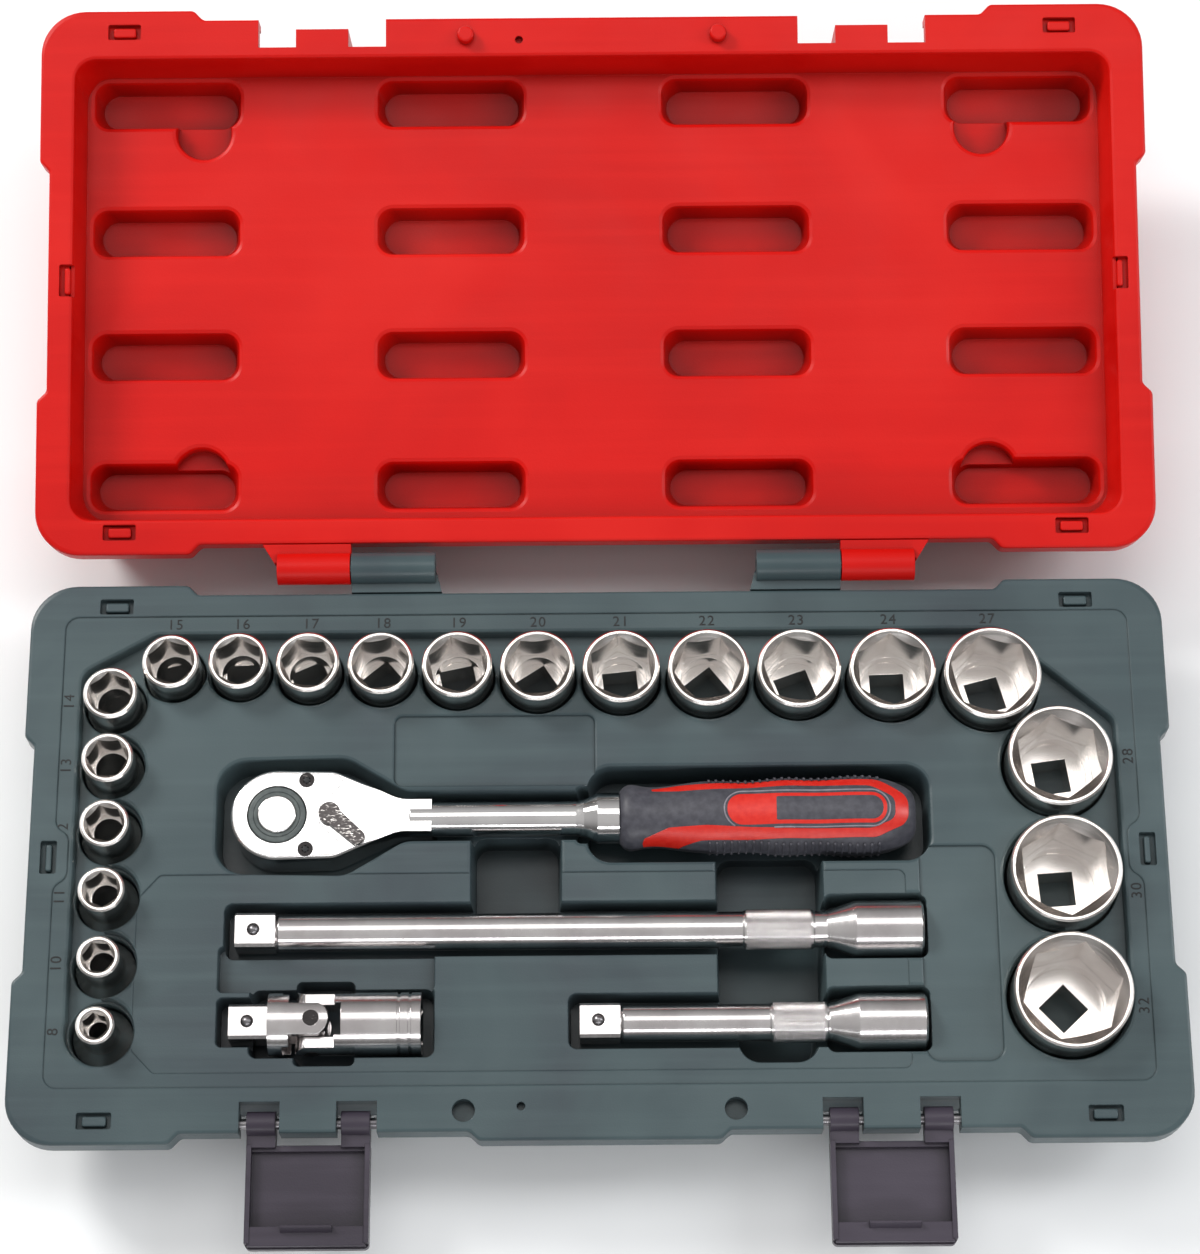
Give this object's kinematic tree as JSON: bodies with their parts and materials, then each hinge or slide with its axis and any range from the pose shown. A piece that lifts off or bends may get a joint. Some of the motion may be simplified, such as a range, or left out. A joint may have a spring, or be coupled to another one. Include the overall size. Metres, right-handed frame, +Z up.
{
  "type": "socket wrench set in case",
  "caption": "Hinged moulded case, open, with a socket ratchet, six-point sockets, extension bars and a universal joint in fitted pockets.",
  "frame": {"origin": "centre of the base's flat underside", "axes": "+X right, along the hinge; +Y towards the hinge and the open lid; +Z up"},
  "size_m": [0.4246, 0.4697, 0.0906],
  "materials": {
    "case_base": "fine moulded texture",
    "case_lid": "fine moulded texture",
    "latch_plastic": "satin",
    "pin_steel": "turned",
    "ratchet_chrome": "polished",
    "bar_satin": "satin",
    "socket_chrome": "polished outside, satin inside",
    "seal_rubber": "satin",
    "grip_rubber": "soft touch",
    "grip_red": "soft touch"
  },
  "bodies": {
    "base": {"base_outer_shell": "case_base", "base_tool_tray": "case_base", "hinge_pin_left": "pin_steel", "hinge_pin_right": "pin_steel", "latch_pin_left": "pin_steel", "latch_pin_right": "pin_steel"},
    "lid": {"lid_outer_shell": "case_lid", "lid_inner_liner": "case_lid"},
    "latch_left": {"latch_left": "latch_plastic"},
    "latch_right": {"latch_right": "latch_plastic"},
    "ratchet": {"ratchet_body": "ratchet_chrome", "ratchet_cover_plate": "ratchet_chrome", "ratchet_cover_screws": "pin_steel", "ratchet_grip": "grip_rubber", "ratchet_grip_insert": "grip_red"},
    "ratchet_drive": {"ratchet_gear": "ratchet_chrome", "ratchet_seal_ring": "seal_rubber", "quick_release_spring": "pin_steel"},
    "ratchet_button": {"quick_release_button": "ratchet_chrome"},
    "drive_ball": {"ratchet_drive_ball": "pin_steel"},
    "ratchet_lever": {"reversing_lever": "ratchet_chrome"},
    "ratchet_pawl": {"ratchet_pawl": "pin_steel"},
    "ujoint_drive": {"ujoint_drive_yoke": "bar_satin", "ujoint_fork_pin": "pin_steel", "ujoint_ball_spring": "pin_steel"},
    "ujoint_cross": {"ujoint_cross": "bar_satin", "ujoint_cross_pins": "pin_steel"},
    "ujoint_socket": {"ujoint_socket_yoke": "bar_satin"},
    "ujoint_ball": {"ujoint_ball": "pin_steel"},
    "long_extension": {"long_extension_bar": "bar_satin", "long_extension_spring": "pin_steel"},
    "long_ball": {"long_extension_ball": "pin_steel"},
    "short_extension": {"short_extension_bar": "bar_satin", "short_extension_spring": "pin_steel"},
    "short_ball": {"short_extension_ball": "pin_steel"},
    "socket_08": {"socket_08mm": "socket_chrome"},
    "socket_10": {"socket_10mm": "socket_chrome"},
    "socket_11": {"socket_11mm": "socket_chrome"},
    "socket_12": {"socket_12mm": "socket_chrome"},
    "socket_13": {"socket_13mm": "socket_chrome"},
    "socket_14": {"socket_14mm": "socket_chrome"},
    "socket_15": {"socket_15mm": "socket_chrome"},
    "socket_16": {"socket_16mm": "socket_chrome"},
    "socket_17": {"socket_17mm": "socket_chrome"},
    "socket_18": {"socket_18mm": "socket_chrome"},
    "socket_19": {"socket_19mm": "socket_chrome"},
    "socket_20": {"socket_20mm": "socket_chrome"},
    "socket_21": {"socket_21mm": "socket_chrome"},
    "socket_22": {"socket_22mm": "socket_chrome"},
    "socket_23": {"socket_23mm": "socket_chrome"},
    "socket_24": {"socket_24mm": "socket_chrome"},
    "socket_27": {"socket_27mm": "socket_chrome"},
    "socket_28": {"socket_28mm": "socket_chrome"},
    "socket_30": {"socket_30mm": "socket_chrome"},
    "socket_32": {"socket_32mm": "socket_chrome"}
  },
  "joints": [
    {"name": "lid_hinge", "type": "hinge", "parent": "base", "child": "lid", "pos_m": [0, 0.1122, 0.0402], "axis": [-1, 0, 0], "range_deg": [-167.12, 0]},
    {"name": "latch_left_hinge", "type": "hinge", "parent": "base", "child": "latch_left", "pos_m": [-0.104, -0.0981, 0.034], "axis": [1, 0, 0], "range_deg": [-90, 0]},
    {"name": "latch_right_hinge", "type": "hinge", "parent": "base", "child": "latch_right", "pos_m": [0.104, -0.0981, 0.034], "axis": [1, 0, 0], "range_deg": [-90, 0]},
    {"name": "ratchet_lift", "type": "slide", "parent": "base", "child": "ratchet", "axis": [0, 0, 1], "range_m": [0, 0.06]},
    {"name": "ratchet_drive_spin", "type": "hinge", "parent": "ratchet", "child": "ratchet_drive", "pos_m": [-0.1177, 0.015, 0.033], "axis": [0, 0, 1], "continuous": true},
    {"name": "reversing_lever_turn", "type": "hinge", "parent": "ratchet", "child": "ratchet_lever", "pos_m": [-0.0983, 0.015, 0.042], "axis": [0, 0, 1], "range_deg": [0, 83.6]},
    {"name": "pawl_rock", "type": "hinge", "parent": "ratchet", "child": "ratchet_pawl", "pos_m": [-0.0983, 0.015, 0.033], "axis": [0, 0, 1], "range_deg": [0, 12]},
    {"name": "quick_release_press", "type": "slide", "parent": "ratchet_drive", "child": "ratchet_button", "axis": [0, 0, -1], "range_m": [0, 0.0025], "stiffness_N_per_m": 600, "springref_m": -0.002, "deforming": ["quick_release_spring"]},
    {"name": "drive_ball_slide", "type": "slide", "parent": "ratchet_drive", "child": "drive_ball", "axis": [0, 1, 0], "range_m": [0, 0.0011]},
    {"name": "ujoint_lift", "type": "slide", "parent": "base", "child": "ujoint_drive", "axis": [0, 0, 1], "range_m": [0, 0.06]},
    {"name": "ujoint_swivel", "type": "hinge", "parent": "ujoint_drive", "child": "ujoint_cross", "pos_m": [-0.1033, -0.062, 0.0345], "axis": [0, 0, 1], "range_deg": [-2, 2]},
    {"name": "ujoint_bend", "type": "hinge", "parent": "ujoint_cross", "child": "ujoint_socket", "pos_m": [-0.1033, -0.062, 0.0345], "axis": [0, -1, 0], "range_deg": [0, 55]},
    {"name": "long_extension_lift", "type": "slide", "parent": "base", "child": "long_extension", "axis": [0, 0, 1], "range_m": [0, 0.06]},
    {"name": "short_extension_lift", "type": "slide", "parent": "base", "child": "short_extension", "axis": [0, 0, 1], "range_m": [0, 0.06]},
    {"name": "ujoint_ball_slide", "type": "slide", "parent": "ujoint_drive", "child": "ujoint_ball", "axis": [0, 0, -1], "range_m": [0, 0.001], "stiffness_N_per_m": 500, "springref_m": -0.002, "deforming": ["ujoint_ball_spring"]},
    {"name": "long_ball_slide", "type": "slide", "parent": "long_extension", "child": "long_ball", "axis": [0, 0, -1], "range_m": [0, 0.001], "stiffness_N_per_m": 500, "springref_m": -0.002, "deforming": ["long_extension_spring"]},
    {"name": "short_ball_slide", "type": "slide", "parent": "short_extension", "child": "short_ball", "axis": [0, 0, -1], "range_m": [0, 0.001], "stiffness_N_per_m": 500, "springref_m": -0.002, "deforming": ["short_extension_spring"]},
    {"name": "socket_08_lift", "type": "slide", "parent": "base", "child": "socket_08", "axis": [0, 0, 1], "range_m": [0, 0.06]},
    {"name": "socket_10_lift", "type": "slide", "parent": "base", "child": "socket_10", "axis": [0, 0, 1], "range_m": [0, 0.06]},
    {"name": "socket_11_lift", "type": "slide", "parent": "base", "child": "socket_11", "axis": [0, 0, 1], "range_m": [0, 0.06]},
    {"name": "socket_12_lift", "type": "slide", "parent": "base", "child": "socket_12", "axis": [0, 0, 1], "range_m": [0, 0.06]},
    {"name": "socket_13_lift", "type": "slide", "parent": "base", "child": "socket_13", "axis": [0, 0, 1], "range_m": [0, 0.06]},
    {"name": "socket_14_lift", "type": "slide", "parent": "base", "child": "socket_14", "axis": [0, 0, 1], "range_m": [0, 0.06]},
    {"name": "socket_15_lift", "type": "slide", "parent": "base", "child": "socket_15", "axis": [0, 0, 1], "range_m": [0, 0.06]},
    {"name": "socket_16_lift", "type": "slide", "parent": "base", "child": "socket_16", "axis": [0, 0, 1], "range_m": [0, 0.06]},
    {"name": "socket_17_lift", "type": "slide", "parent": "base", "child": "socket_17", "axis": [0, 0, 1], "range_m": [0, 0.06]},
    {"name": "socket_18_lift", "type": "slide", "parent": "base", "child": "socket_18", "axis": [0, 0, 1], "range_m": [0, 0.06]},
    {"name": "socket_19_lift", "type": "slide", "parent": "base", "child": "socket_19", "axis": [0, 0, 1], "range_m": [0, 0.06]},
    {"name": "socket_20_lift", "type": "slide", "parent": "base", "child": "socket_20", "axis": [0, 0, 1], "range_m": [0, 0.06]},
    {"name": "socket_21_lift", "type": "slide", "parent": "base", "child": "socket_21", "axis": [0, 0, 1], "range_m": [0, 0.06]},
    {"name": "socket_22_lift", "type": "slide", "parent": "base", "child": "socket_22", "axis": [0, 0, 1], "range_m": [0, 0.06]},
    {"name": "socket_23_lift", "type": "slide", "parent": "base", "child": "socket_23", "axis": [0, 0, 1], "range_m": [0, 0.06]},
    {"name": "socket_24_lift", "type": "slide", "parent": "base", "child": "socket_24", "axis": [0, 0, 1], "range_m": [0, 0.06]},
    {"name": "socket_27_lift", "type": "slide", "parent": "base", "child": "socket_27", "axis": [0, 0, 1], "range_m": [0, 0.06]},
    {"name": "socket_28_lift", "type": "slide", "parent": "base", "child": "socket_28", "axis": [0, 0, 1], "range_m": [0, 0.06]},
    {"name": "socket_30_lift", "type": "slide", "parent": "base", "child": "socket_30", "axis": [0, 0, 1], "range_m": [0, 0.06]},
    {"name": "socket_32_lift", "type": "slide", "parent": "base", "child": "socket_32", "axis": [0, 0, 1], "range_m": [0, 0.06]}
  ],
  "couplings": [
    {"joint": "pawl_rock", "follows": "reversing_lever_turn", "ratio": 0.14354},
    {"joint": "drive_ball_slide", "follows": "quick_release_press", "ratio": 0.44}
  ]
}
